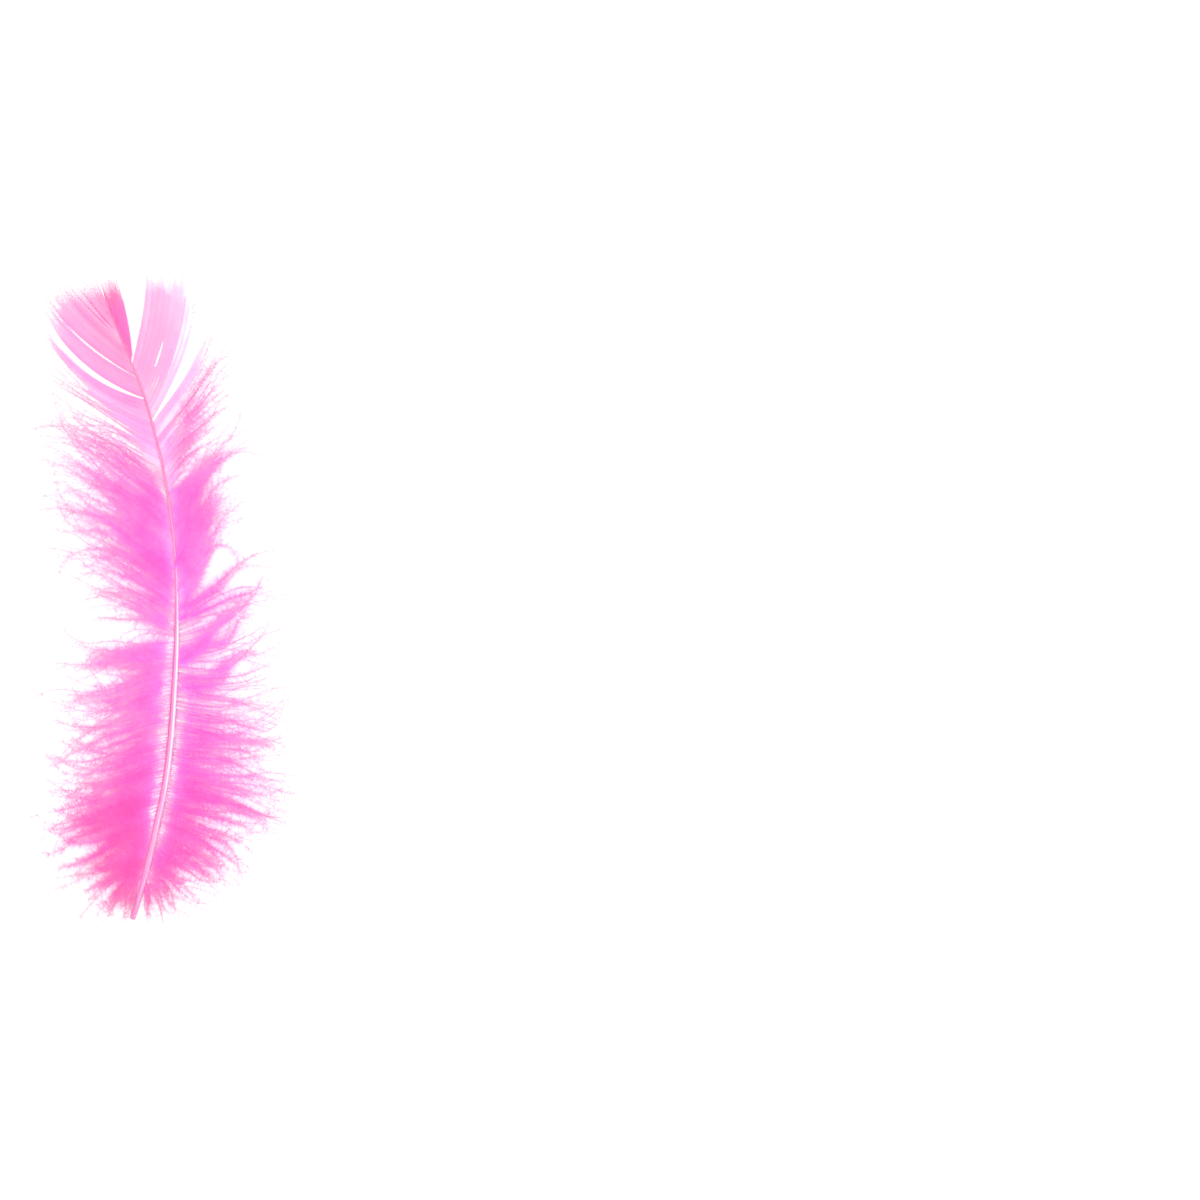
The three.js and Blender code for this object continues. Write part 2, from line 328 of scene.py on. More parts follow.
def read(table, place):
    """The second column of a table, read between the places in its first."""
    return np.interp(place, *np.array(table, float).T)


def sideways(along):
    """Directions square to others: to their right in plan, and above them."""
    across = unit(np.cross(along, UP))
    return across, np.cross(across, along)


# Where barbs leave the shaft, in half widths from its centre: outwards and upwards.
ROOT_OUT, ROOT_UP = 0.9, 0.35


def barb_roots(side, place):
    """Where barbs leave the side of the shaft."""
    left = unit(np.cross(UP, columns_at(place, PLACE, ALONG)))
    half = read(SHAFT_WIDTH, place)[:, None]
    return columns_at(place, PLACE, CENTRE) + left * half * side * ROOT_OUT + UP * half * ROOT_UP


STEP_MIDDLES = (np.arange(BARB_STEPS) + 0.5) / BARB_STEPS
STEP_ENDS = np.arange(BARB_STEPS + 1) / BARB_STEPS


def grow(root, heading, length):
    """Barbs in plan from their roots, for headings at the middles of BARB_STEPS equal steps."""
    angle = np.radians(heading)
    step = np.stack([np.cos(angle), np.sin(angle)], axis=-1) * (length / BARB_STEPS)[:, None, None]
    start = root[:, None, :2]
    return np.concatenate([start, start + np.cumsum(step, axis=1)], axis=1)


def column(values):
    """One value for each barb, shaped to meet the steps along it."""
    return values[:, None]


def group_numbers(rng, count, smallest, largest):
    """The group that each of count neighbouring barbs belongs to."""
    sizes = rng.integers(smallest, largest + 1, count)
    return np.repeat(np.arange(count), sizes)[:count]


def shared(rng, group, spread):
    """A random number for each barb, the same for all barbs of a group."""
    return rng.normal(0, spread, group.max() + 1)[group]


def group_mean(values, group):
    total = np.zeros((group.max() + 1, *values.shape[1:]))
    np.add.at(total, group, values)
    return (total / np.bincount(group).reshape(-1, *[1] * (values.ndim - 1)))[group]


# The pull on a barb follows a sine along it: the power of the share along it, and the half turns at its tip.
PULL_POWER, PULL_TURNS = 1.2, 0.8


def pull_together(points, group, strength):
    """Draws the barbs of each group towards its middle, most of all past halfway along them."""
    pull = np.sin(np.pi * STEP_ENDS[None, :, None] ** PULL_POWER * PULL_TURNS)
    share = strength[:, None, None] * pull
    return points + (group_mean(points, group) - points) * share


# Barbs this far from a slit along the shaft are moved a third as much as those at its edge.
SLIT_REACH = 0.8
# Share of its full width from which a slit parts the barbs beside it.
SLIT_OPEN = 0.1


def open_slits(points, side, place, slits):
    """Moves barbs apart along slits, and says where each stands apart from the next one up the shaft."""
    apart = np.full(points.shape[:2], False)
    for at, start, end, width in slits:
        bulge = np.clip(4 * (STEP_ENDS - start) * (end - STEP_ENDS) / (end - start) ** 2, 0, 1)
        push = np.sign(place - at) * np.exp(-np.abs(place - at) / SLIT_REACH) * side * width / 2
        across = sideways(unit(np.gradient(points, axis=1)))[0]
        points = points + across * push[:, None, None] * bulge[None, :, None]
        apart[np.searchsorted(place, at) - 1] |= bulge > SLIT_OPEN
    return points, apart


# Barbs grow in locks, and in wisps that are smaller: the smallest and largest number of barbs in each.
LOCK_SIZE = (6, 14)
WISP_SIZE = (2, 4)
# The spreads below are standard deviations, first of what a lock has in common, then a wisp, then one barb.
# Degrees by which a loose barb turns, evenly along it and towards its tip.
LOCK_TURNS = (8, 8)
WISP_TURNS = (5, 10)
BARB_TURNS = (8, 18)
# Waves along a loose barb: their number, and the degrees by which they swing its tip.
WAVES = ((1.2, 13), (2.3, 8))
PHASE_SPREADS = (1.6, 1.0, 1.0)
# Degrees by which hooked barbs turn too: a lock evenly, one barb towards its tip.
HOOKED_LOCK_TURN, HOOKED_BARB_TURN = 0.5, 1.2


def stray_headings(rng, lock, wisp):
    """Turns of barbs away from their rows: what hooked barbs have too, and what only loose barbs have."""
    n = len(lock)
    v = STEP_MIDDLES[None]
    stray = column(shared(rng, lock, LOCK_TURNS[0])) * v + column(shared(rng, lock, LOCK_TURNS[1])) * v**3
    stray = stray + column(shared(rng, wisp, WISP_TURNS[0])) * v
    stray = stray + column(shared(rng, wisp, WISP_TURNS[1])) * v**3
    stray = stray + column(rng.normal(0, BARB_TURNS[0], n)) * v
    stray = stray + column(rng.normal(0, BARB_TURNS[1], n)) * v**2
    for waves, swing in WAVES:
        phase = shared(rng, lock, PHASE_SPREADS[0]) + shared(rng, wisp, PHASE_SPREADS[1])
        phase = phase + rng.normal(0, PHASE_SPREADS[2], n)
        stray = stray + swing * v * np.sin(2 * np.pi * waves * v + column(phase))
    hooked = column(shared(rng, lock, HOOKED_LOCK_TURN)) * v
    hooked = hooked + column(rng.normal(0, HOOKED_BARB_TURN, n)) * v**2
    return hooked, stray


# Loose barbs are longer than their rows by this share, less up to the second share at random.
LOOSE_LONGER, LOOSE_SHORTER = 0.12, 0.6
SHORTER_BETA = (1, 1.6)
LENGTH_SPREAD = 0.02
# Barbs that would end farther out than this are shorter, each by its own limit between the two.
WIDEST = (20.0, 26.0)


def barb_lengths(rng, start, heading, length, loose):
    """Lengths that vary, within a limit to the sides."""
    n = len(length)
    short = LOOSE_SHORTER * loose * rng.beta(*SHORTER_BETA, n)
    length = length * (1.0 + LOOSE_LONGER * loose + rng.normal(0, LENGTH_SPREAD, n) - short)
    too_far = np.abs(grow(start, heading, length)[:, -1, 0]) / rng.uniform(*WIDEST, n)
    return length / np.maximum(too_far, 1)


# Height above the surface at which barbs come to lie, and the least that any point has.
LYING, LOWEST = 0.3, 0.15
# How much higher loose barbs arch: the mean, and the spreads of lock, wisp and barb.
ARCH = 0.4
ARCH_SPREADS = (0.4, 0.35, 0.4)
TIP_RISE = (-0.1, 0.9)


def barb_heights(rng, root_height, film, lock, wisp, loose):
    """Heights along barbs: down from the shaft, sooner where they are hooked, and arched where loose."""
    n = len(lock)
    v = STEP_ENDS[None]
    hooked = column(film)
    flat = LYING + column(root_height - LYING) * (1 - v) ** (1 + 2 * hooked)
    flat = flat + LYING * (1 - hooked) * np.sin(np.pi * v)
    arch = shared(rng, lock, ARCH_SPREADS[0]) + shared(rng, wisp, ARCH_SPREADS[1])
    arch = arch + rng.normal(ARCH, ARCH_SPREADS[2], n)
    tips = rng.uniform(*TIP_RISE, n)
    return flat + column(loose) * (column(arch) * np.sin(np.pi * v) + column(tips) * v)


ROOT_SPREAD = 0.1
FILM_SPREAD = 0.22
CLUMP_STRENGTH = 0.75
# Spreads of the dye, and those of loose barbs on top.
TINT_SPREADS = (0.02, 0.03, 0.05)
LOOSE_TINT = 0.05
# Spreads of the number of barbules between locks and wisps, as powers of e.
FLUFF_SPREADS = (0.2, 0.25)
BARE_RANGE = (0.5, 1.4)


def tuft_barbs(rng, side, rows, film, loose, spacing, clump, fluff, depth, slits):
    """The barbs of a tuft, as arrays with one entry for each barb."""
    place = np.arange(rows[0][0], rows[-1][0] + spacing / 2, spacing)
    n = len(place)
    loose = np.linspace(*loose, n)
    place = place + rng.normal(0, ROOT_SPREAD, n) * loose
    table = np.array(rows, float)
    root, middle, tip, length = (np.interp(place, table[:, 0], values) for values in table.T[1:])
    lock = group_numbers(rng, n, *LOCK_SIZE)
    wisp = group_numbers(rng, n, *WISP_SIZE)

    v = STEP_MIDDLES[None]
    heading = column(root) * (1 - v) ** 2 + column(middle) * 2 * v * (1 - v) + column(tip) * v**2
    hooked, stray = stray_headings(rng, lock, wisp)
    heading = heading + hooked + column(loose) * stray
    start = barb_roots(side, place)
    length = barb_lengths(rng, start, heading, length, loose)
    plan = grow(start, heading, length)

    film = np.clip(read(film, place) * (1 + rng.normal(0, FILM_SPREAD, n) * loose), 0, 1)
    height = barb_heights(rng, start[:, 2], film, lock, wisp, loose)
    points = np.concatenate([plan, height[..., None]], axis=-1)
    drawn = rng.uniform(0, 1, wisp.max() + 1)[wisp] < clump
    points = pull_together(points, wisp, CLUMP_STRENGTH * drawn * loose)
    points[..., 2] = np.maximum(points[..., 2], LOWEST)
    points, apart = open_slits(points, side, place, slits)

    tint = shared(rng, lock, TINT_SPREADS[0]) + shared(rng, wisp, TINT_SPREADS[1])
    tint = tint + rng.normal(0, TINT_SPREADS[2], n)
    tint = tint + loose * (shared(rng, lock, LOOSE_TINT) + shared(rng, wisp, LOOSE_TINT)) + depth
    amount = np.exp(shared(rng, lock, FLUFF_SPREADS[0]) + shared(rng, wisp, FLUFF_SPREADS[1])) * fluff
    return {
        "points": points, "length": length, "side": side, "apart": apart, "film": film,
        "bare": read(BARE[side], place) * rng.uniform(*BARE_RANGE, n),
        "film_dye": read(FILM_DYE[side], place) + tint,
        "down_dye": read(DOWN_DYE, place) + tint,
        "rose": read(ROSE[side], place),
        "fluff": read(FLUFF[side], place) * amount * (loose > 0),
    }


STRAND_STEPS = 12
# Barbs of a strand end at shares of its way between these.
STRAND_ENDS = (0.8, 1.05)
# Share of its drift that such a barb has at the root already, and the part of the spread that is one step's.
ROOT_DRIFT, STEP_PART = 0.3, 6
STRAND_TIP_HEIGHT = (0.4, 1.2)
STRAND_BARE = 1.5


def strand_barbs(rng, way, barbs, spread, lift, fluff, depth):
    """The barbs of a strand, as arrays with one entry for each barb."""
    path = smooth_path(way, STRAND_STEPS)
    share = lengths_along(path) / lengths_along(path)[-1]
    ends = rng.uniform(*STRAND_ENDS, barbs)
    plan = columns_at(np.clip(ends[:, None] * STEP_ENDS[None], 0, 1), share, path)
    drift = rng.normal(0, spread, (barbs, 1, 2)) * (ROOT_DRIFT + STEP_ENDS[None, :, None])
    wander = np.cumsum(rng.normal(0, spread / STEP_PART, (barbs, BARB_STEPS + 1, 2)), axis=1)
    plan = plan + drift + wander
    side = LEFT if way[-1][0] < way[0][0] else RIGHT
    place = np.interp(way[0][1], CENTRE[:, 1], PLACE)
    root_height = np.interp(place, PLACE, CENTRE[:, 2])
    v = STEP_ENDS[None]
    tips = column(rng.uniform(*STRAND_TIP_HEIGHT, barbs))
    height = root_height * (1 - v) + tips * v + lift * np.sin(np.pi * v)
    dye = read(DOWN_DYE, place) + rng.normal(depth, TINT_SPREADS[2], barbs)
    return {
        "points": np.concatenate([plan, height[..., None]], axis=-1),
        "length": ends * lengths_along(path)[-1], "side": side, "film": np.zeros(barbs),
        "bare": np.full(barbs, STRAND_BARE if fluff else 0.0), "film_dye": dye, "down_dye": dye,
        "rose": np.full(barbs, read(ROSE[side], place) / 2), "fluff": np.full(barbs, fluff),
    }


class Pile:
    """Triangles of one piece, gathered as arrays: corners, faces, and the dye and rose of each corner."""

    def __init__(self):
        self.corners, self.faces, self.dyes, self.roses, self.count = [], [], [], [], 0

    def add(self, corners, faces, dye, rose):
        self.corners.append(corners.reshape(-1, 3))
        self.faces.append(faces.reshape(-1, 3) + self.count)
        self.dyes.append(np.broadcast_to(dye, corners.shape[:-1]).reshape(-1))
        self.roses.append(np.broadcast_to(rose, corners.shape[:-1]).reshape(-1))
        self.count += self.corners[-1].shape[0]

    def mesh(self, name):
        corners = np.concatenate(self.corners).astype(np.float32) * MM
        faces = np.concatenate(self.faces).astype(np.int32)
        mesh = bpy.data.meshes.new(name)
        mesh.vertices.add(len(corners))
        mesh.vertices.foreach_set("co", corners.ravel())
        mesh.loops.add(faces.size)
        mesh.loops.foreach_set("vertex_index", faces.ravel())
        mesh.polygons.add(len(faces))
        mesh.polygons.foreach_set("loop_start", np.arange(0, faces.size, 3, dtype=np.int32))
        mesh.update(calc_edges=True)
        for kind, values in (("dye", self.dyes), ("rose", self.roses)):
            stored = mesh.attributes.new(kind, "FLOAT", "POINT")
            stored.data.foreach_set("value", np.concatenate(values).astype(np.float32))
        low, high = (np.array(c) for c in cad_box)
        spread = (corners - low) / (high - low).max()
        plan = mesh.uv_layers.new(name="OFBake")
        plan.data.foreach_set("uv", spread[faces.ravel(), :2].astype(np.float32).ravel())
        return mesh


# Half thickness of a barb, the share of it that is gone at the tip, and what a bare stalk adds.
ROD, ROD_TAPER, ROD_STALK = 0.05, 0.82, 0.02
# Lengths of stalk: the least that is reckoned with, and the one that adds the full thickness.
LEAST_STALK, FULL_STALK = 0.2, 1
# Corners of the rod's section, in half thicknesses: two beside and above the barb, one right under it.
ROD_SIDE, ROD_TOP = 0.87, 0.5
# Dye added to the rod in film and in down, the share left on the bare stalk, and where that ends.
ROD_FILM_DYE, ROD_DOWN_DYE = 0.05, 0.1
ROD_STALK_DYE, ROD_STALK_FADE = 0.5, 1.2
ROD_TIP_FADE = 0.62
# How much rosier loose barbs and barbules are at the tip.
TIP_ROSE = 0.45


def add_rods(pile, barbs):
    """A closed three-sided rod along each barb, flat on top, stout where it is bare and thin at its tip."""
    points, length, bare = barbs["points"], barbs["length"], column(barbs["bare"])
    n, m = points.shape[:2]
    v = STEP_ENDS[None]
    across, above = sideways(unit(np.gradient(points, axis=1)))
    run = v * column(length)
    stalk = np.exp(-run / np.maximum(bare, LEAST_STALK))
    radius = (ROD * (1 - ROD_TAPER * v) + ROD_STALK * stalk * np.minimum(bare, FULL_STALK))[..., None]
    corners = np.stack([
        points - above * radius,
        points + (above * ROD_TOP - across * ROD_SIDE) * radius,
        points + (above * ROD_TOP + across * ROD_SIDE) * radius,
    ], axis=2)
    ring = (np.arange(n)[:, None] * m + np.arange(m - 1)[None]) * 3
    faces = []
    for a, b in ((0, 1), (1, 2), (2, 0)):
        faces.append(np.stack([ring + a, ring + b, ring + b + 3], axis=-1))
        faces.append(np.stack([ring + a, ring + b + 3, ring + a + 3], axis=-1))
    first, last = ring[:, 0], ring[:, -1] + 3
    faces.append(np.stack([first, first + 2, first + 1], axis=-1))
    faces.append(np.stack([last, last + 1, last + 2], axis=-1))
    hooked = v < column(barbs["film"])
    film_dye, down_dye = column(barbs["film_dye"]), column(barbs["down_dye"])
    dye = np.where(hooked, film_dye + ROD_FILM_DYE, down_dye + ROD_DOWN_DYE)
    dye = dye * np.clip((run - bare) / ROD_STALK_FADE, ROD_STALK_DYE, 1) - ROD_TIP_FADE * v**2
    rose = column(barbs["rose"]) + TIP_ROSE * v**2
    faces = np.concatenate([f.reshape(-1, 3) for f in faces])
    pile.add(corners, faces, dye[:, :, None], rose[:, :, None])


# A share along a barb just short of its tip, so that a step still follows.
NEAR_TIP = 0.9999


def along_barbs(points, barb, v):
    """Points and directions at shares v along the barbs with those numbers."""
    place = np.clip(v, 0, NEAR_TIP) * BARB_STEPS
    low = place.astype(int)
    part = (place - low)[:, None]
    start, end = points[barb, low], points[barb, low + 1]
    return start + (end - start) * part, unit(end - start)


# How near to the shaft's centre barbules may end, in its half widths.
SHAFT_EDGE = 0.8


def off_the_shaft(ends, side):
    """Moves ends that lie over the shaft or beyond it back to its near edge."""
    centre = np.interp(ends[:, 1], CENTRE[:, 1], CENTRE[:, 0])
    edge = np.interp(ends[:, 1], CENTRE[:, 1], read(SHAFT_WIDTH, PLACE)) * SHAFT_EDGE
    away = (centre - ends[:, 0]) * side
    over = (away < edge) & (ends[:, 1] > CENTRE[0, 1])
    ends[over, 0] = (centre - edge * side)[over]
    return ends


FLUFF_PER_MM = 72
FLUFF_REACH = 2.7
FLUFF_WIDTH = 0.034
FLUFF_LEAN = (28, 92)
# Share of the barbules that are missing at the tip of a barb.
THINNING = 0.82
# Where the first barbules of a barb grow, as a share of its film.
FLUFF_START = (0.6, 1.1)
# Share of the barbules kept where the barbs are bare, and the dye left there.
ON_STALKS, PALE_STALK = 0.9, 0.08
STALK_FADE = 0.8
# Radians by which barbules stand up or hang down from the side of their barb.
ROLL_SPREAD = 0.8
# Barbules that grow nearer to the shaft than this all hang down a little.
SHAFT_CLEAR = 2.2
DROOP, ROLLED_DROOP = 0.1, 0.2
# Past the stalk, barbules stand up more and more over this length, from the least share.
RISE_LENGTH, LEAST_RISE = 2.5, 0.15
# Share of their full length that barbules have at the end of the stalk, and the least on it.
STALK_END_REACH, LEAST_REACH = 0.8, 0.5
# Run along the barb over which that share grows by one.
GROWING_RUN = 3.6
REACH_TAPER = 0.5
SHORTEST = 0.08
BARB_VIGOUR = (0.55, 1.25)
BARBULE_VIGOUR = (0.4, 1.2)
FLUFF_LOWEST = 0.05
FLUFF_TIP_FADE = 0.5
BARBULE_TIP_FADE = 0.15


def add_fluff(pile, rng, barbs):
    """Long loose barbules all round barbs past their film, each one thin blade."""
    length, bare, film = barbs["length"], barbs["bare"], barbs["film"]
    count = (length * (1 - film) * (1 - THINNING / 2) * FLUFF_PER_MM * barbs["fluff"]).astype(int)
    barb = np.repeat(np.arange(len(length)), count)
    n = len(barb)
    first = film[barb] * rng.uniform(*FLUFF_START, n)
    v = rng.uniform(0, 1, n)
    v = (1 - np.sqrt(1 - 2 * THINNING * v * (1 - THINNING / 2))) / THINNING
    v = np.clip(first + v * (1 - first), 0, 1)
    past = v * length[barb] - bare[barb]
    kept = (past > 0) | (rng.uniform(0, 1, n) < ON_STALKS)
    barb, v, past = barb[kept], v[kept], past[kept]
    n = len(barb)

    base, along = along_barbs(barbs["points"], barb, v)
    across, above = sideways(along)
    roll = rng.choice([0, np.pi], n) + rng.normal(0, ROLL_SPREAD, n)
    beside = (past < 0) | (v * length[barb] < SHAFT_CLEAR)
    droop = -np.abs(np.sin(roll)) * ROLLED_DROOP - DROOP
    lift = np.where(beside, droop, np.sin(roll) * np.clip(past / RISE_LENGTH, LEAST_RISE, 1))
    lean = np.radians(rng.uniform(*FLUFF_LEAN, n))
    out = across * np.cos(roll)[:, None] + above * lift[:, None]
    way = along * np.cos(lean)[:, None] + out * np.sin(lean)[:, None]
    vigour = rng.uniform(*BARB_VIGOUR, len(length))[barb]
    grown = np.clip(STALK_END_REACH + past / GROWING_RUN, LEAST_REACH, 1)
    size = FLUFF_REACH * grown * vigour * (1 - REACH_TAPER * v) + SHORTEST
    size = size * rng.uniform(*BARBULE_VIGOUR, n)
    end = off_the_shaft(base + way * size[:, None], barbs["side"])
    end[:, 2] = np.maximum(end[:, 2], FLUFF_LOWEST)
    half = along * (FLUFF_WIDTH / 2)
    corners = np.stack([base - half, base + half, end], axis=1)

    stalk = np.clip(1 + past / STALK_FADE, PALE_STALK, 1)
    dye = (barbs["down_dye"][barb] - FLUFF_TIP_FADE * v**2) * stalk
    dye = np.stack([dye, dye, dye - BARBULE_TIP_FADE], axis=1)
    rose = barbs["rose"][barb] + TIP_ROSE * v**2
    pile.add(corners, np.arange(n * 3).reshape(-1, 3), dye, rose[:, None])


FILM_PER_MM = 18
FILM_WIDTH = 0.06
# Length at the end of the film over which it thins out, and the share of barbules left at its end.
FRINGE, LEFT_IN_FRINGE = 5.5, 0.06
FRINGE_POWER = 1.6
# Share of their full size that barbules have at the end of the film.
LEAST_BLADE = 0.5
# Barbules beyond this share of a barb grow there.
FILM_END = 0.999
# Gap that barbules bridge: at most, across a slit, and at the edge of a panel.
WIDEST_GAP, SLIT_GAP, EDGE_GAP = 0.45, 0.08, 0.12
OVERLAP = 1.5
# Degrees between barbule and barb at the end of the film, their spread, and how many more inside it.
FILM_LEAN, FILM_LEAN_SPREAD, FILM_LEAN_INSIDE = 18, 4, 24
# Rise of the barbules on one side of the barbs and fall of those on the other, and its spread.
FILM_RISE, FILM_RISE_SPREAD = 0.04, 0.05
FILM_VIGOUR = (0.85, 1.2)
FILM_BLADE_TIP = 0.7
FILM_TIP_FADE, FRINGE_FADE, FRINGE_ROSE = 0.16, 0.22, 0.4


def add_film(pile, rng, barbs):
    """Short flat barbules on both sides of barbs, up to the end of their film, that lap over the next."""
    points, length, film = barbs["points"], barbs["length"], barbs["film"]
    gap = np.linalg.norm(points[1:, :, :2] - points[:-1, :, :2], axis=-1)
    gap = np.where(barbs["apart"][:-1], SLIT_GAP, np.minimum(gap, WIDEST_GAP))
    edge = np.full((1, BARB_STEPS + 1), EDGE_GAP)
    count = (length * FILM_PER_MM).astype(int)
    for turn in (1, -1):
        wide = np.vstack([gap, edge]) if turn == barbs["side"] else np.vstack([edge, gap])
        barb = np.repeat(np.arange(len(length)), count)
        order = np.arange(len(barb)) - np.repeat(np.cumsum(count) - count, count)
        v = (order + rng.uniform(0, 1, len(barb))) / count[barb]
        fade = np.clip((film[barb] - v) * length[barb] / FRINGE, 0, 1)
        chance = LEFT_IN_FRINGE + (1 - LEFT_IN_FRINGE) * fade**FRINGE_POWER
        kept = (v < film[barb]) & (rng.uniform(0, 1, len(barb)) < chance)
        barb, v, fade = barb[kept], np.minimum(v[kept], FILM_END), fade[kept]
        n = len(barb)
        full = LEAST_BLADE + (1 - LEAST_BLADE) * fade
        base, along = along_barbs(points, barb, v)
        across = sideways(along)[0] * turn
        lean = np.radians(rng.normal(FILM_LEAN, FILM_LEAN_SPREAD, n) + FILM_LEAN_INSIDE * fade)[:, None]
        way = along * np.cos(lean) + across * np.sin(lean)
        way[:, 2] += rng.normal(FILM_RISE * turn, FILM_RISE_SPREAD, n)
        size = wide[barb, (v * BARB_STEPS).astype(int)] * OVERLAP * full * rng.uniform(*FILM_VIGOUR, n)
        half = along * (FILM_WIDTH / 2 * full)[:, None]
        end = base + way * size[:, None]
        tip = half * FILM_BLADE_TIP
        corners = np.stack([base - half, base + half, end + tip, end - tip], axis=1)
        first = np.arange(n)[:, None] * 4
        faces = np.concatenate([first + [[0, 1, 2]], first + [[0, 2, 3]]])
        dye = barbs["film_dye"][barb] - FILM_TIP_FADE * v**3 - FRINGE_FADE * (1 - fade)
        rose = barbs["rose"][barb] + FRINGE_ROSE * (1 - fade)
        pile.add(corners, faces, dye[:, None], rose[:, None])


def add_barbs(pile, rng, barbs):
    add_rods(pile, barbs)
    if barbs["film"].max() > 0:
        add_film(pile, rng, barbs)
    if barbs["fluff"].max() > 0:
        add_fluff(pile, rng, barbs)


SHAFT_SIDES = 24
SHAFT_RINGS = 300
# Distance from the quill end and radius, from the bottom of the pinhole in the quill out over its rim.
PINHOLE = [(0.9, 0.01), (0.9, 0.13), (0.1, 0.16), (0.0, 0.22), (0.02, 0.34), (0.15, 0.44)]
# The first rings, the bottom and inner wall of the pinhole, take the deepest dye: painted shade in the hole.
PINHOLE_SHADE_RINGS = 3
AFTER_RIM = 0.45
TIP_RADIUS = 0.01
# The quill is cut off aslant: how much, in half widths, and the length over which that is lost.
SLANT, SLANT_LENGTH = 0.8, 6
# How much of the groove there is along the shaft.
GROOVE = [(3, 0), (8, 1), (55, 1), (75, 0)]
# Its depth, its place across the top and its width, in half widths of the shaft.
GROOVE_DEPTH, GROOVE_PLACE, GROOVE_WIDTH = 0.3, -0.15, 0.22
# How many times narrower it is on the underside.
NARROWER_BELOW = 3
# Dye along the plain shaft, how far stripes replace it, and the stripes from left to right: the deep pink
# left side is painted shade and the pale right of the top, with its thin pink line, a painted highlight, as
# if lit from the right.
SHAFT_DYE = [(0, 0.78), (10, 0.78), (30, 0.66), (70, 0.8), (117, 0.85)]
PAINTED_SHADING_SHARE = [(18, 0.3), (34, 1), (56, 1), (66, 0)]
SHADE_AND_HIGHLIGHT_STRIPES = [(-1, 0.95), (0.0, 0.85), (0.15, 0.3), (0.35, 0.5), (0.45, 0.15), (0.6, 0.1), (1, 0.3)]


def shaft_mesh():
    """The shaft: a closed tube with a groove on top and a pinhole in the quill end."""
    sides = SHAFT_SIDES
    rim_place, rim_radius = np.array(PINHOLE).T
    place = np.concatenate([rim_place, np.linspace(AFTER_RIM, PLACE[-1], SHAFT_RINGS)])
    half = read(SHAFT_WIDTH, place)
    half[:len(PINHOLE)] = rim_radius
    half[-1] = TIP_RADIUS
    angle = np.arange(sides) * 2 * np.pi / sides
    slant = np.clip(1 - place / SLANT_LENGTH, 0, 1)[:, None] * SLANT * half[:, None] * np.sin(angle)[None]
    where = np.clip(place[:, None] + slant, 0, PLACE[-1])
    centre = columns_at(where, PLACE, CENTRE)
    along = unit(columns_at(where, PLACE, ALONG))
    left = unit(np.cross(UP, along))
    above = np.cross(along, left)
    from_groove = ((np.cos(angle) - GROOVE_PLACE) / GROOVE_WIDTH) ** 2
    narrower = np.where(np.sin(angle) > 0, 1, NARROWER_BELOW**2)
    groove = GROOVE_DEPTH * read(GROOVE, place)[:, None] * np.exp(-from_groove * narrower)[None]
    radius = half[:, None] * (1 - groove)
    corners = centre + radius[..., None] * (
        left * np.cos(angle)[None, :, None] + above * np.sin(angle)[None, :, None]
    )
    ring = np.arange(len(place) - 1)[:, None] * sides
    a = np.arange(sides)[None]
    b = (a + 1) % sides
    spoke = np.arange(1, sides - 1)
    last_ring = (len(place) - 1) * sides
    faces = np.concatenate([
        np.stack([ring + a, ring + b, ring + b + sides], axis=-1).reshape(-1, 3),
        np.stack([ring + a, ring + b + sides, ring + a + sides], axis=-1).reshape(-1, 3),
        np.stack([0 * spoke, spoke + 1, spoke], axis=-1),
        np.stack([0 * spoke, spoke, spoke + 1], axis=-1) + last_ring,
    ])
    plain = read(SHAFT_DYE, place)[:, None]
    # Painted shade on the shaft's left side and a painted highlight on its right replace the plain dye over
    # the middle of the shaft.
    painted_shading = read(SHADE_AND_HIGHLIGHT_STRIPES, -np.cos(angle))[None]
    dye = plain + (painted_shading - plain) * read(PAINTED_SHADING_SHARE, place)[:, None]
    # Painted shade inside the pinhole: its bottom and inner wall get the deepest dye.
    dye[:PINHOLE_SHADE_RINGS] = 1
    pile = Pile()
    pile.add(corners, faces, dye, 0.0)
    return pile.mesh("quill_shaft")


def node(tree, kind, **sockets):
    made = tree.nodes.new(kind)
    for name, value in sockets.items():
        made.inputs[name.replace("_", " ")].default_value = value
    return made


def attribute(tree, name):
    made = tree.nodes.new("ShaderNodeAttribute")
    made.attribute_name = name
    return made.outputs["Fac"]


def coloured(tree, value, stops):
    """The colour of a value, such as the depth of dye, read from a ramp."""
    made = tree.nodes.new("ShaderNodeValToRGB")
    while len(made.color_ramp.elements) < len(stops):
        made.color_ramp.elements.new(0.5)
    for element, (at, colour) in zip(made.color_ramp.elements, stops):
        element.position = at
        element.color = (*colour, 1)
    tree.links.new(value, made.inputs["Fac"])
    return made.outputs["Color"]


def dye_depth(tree, stretch, blotches):
    """The dye attribute, with blotches of more and less dye."""
    link = tree.links.new
    place = tree.nodes.new("ShaderNodeTexCoord")
    scale = node(tree, "ShaderNodeMapping", Scale=stretch)
    link(place.outputs["Object"], scale.inputs["Vector"])
    noise = node(tree, "ShaderNodeTexNoise", Scale=1.0, Detail=3.0)
    link(scale.outputs["Vector"], noise.inputs["Vector"])
    middle = node(tree, "ShaderNodeMapRange", To_Min=-blotches, To_Max=blotches)
    link(noise.outputs["Fac"], middle.inputs["Value"])
    total = tree.nodes.new("ShaderNodeMath")
    total.operation = "ADD"
    link(middle.outputs["Result"], total.inputs[0])
    link(attribute(tree, "dye"), total.inputs[1])
    return total.outputs[0]


# Blotches to the metre: on barbs the same each way, on the shaft drawn out along it.
BARB_BLOTCHES = (220, 220, 220)
SHAFT_STREAKS = (2500, 150, 2500)


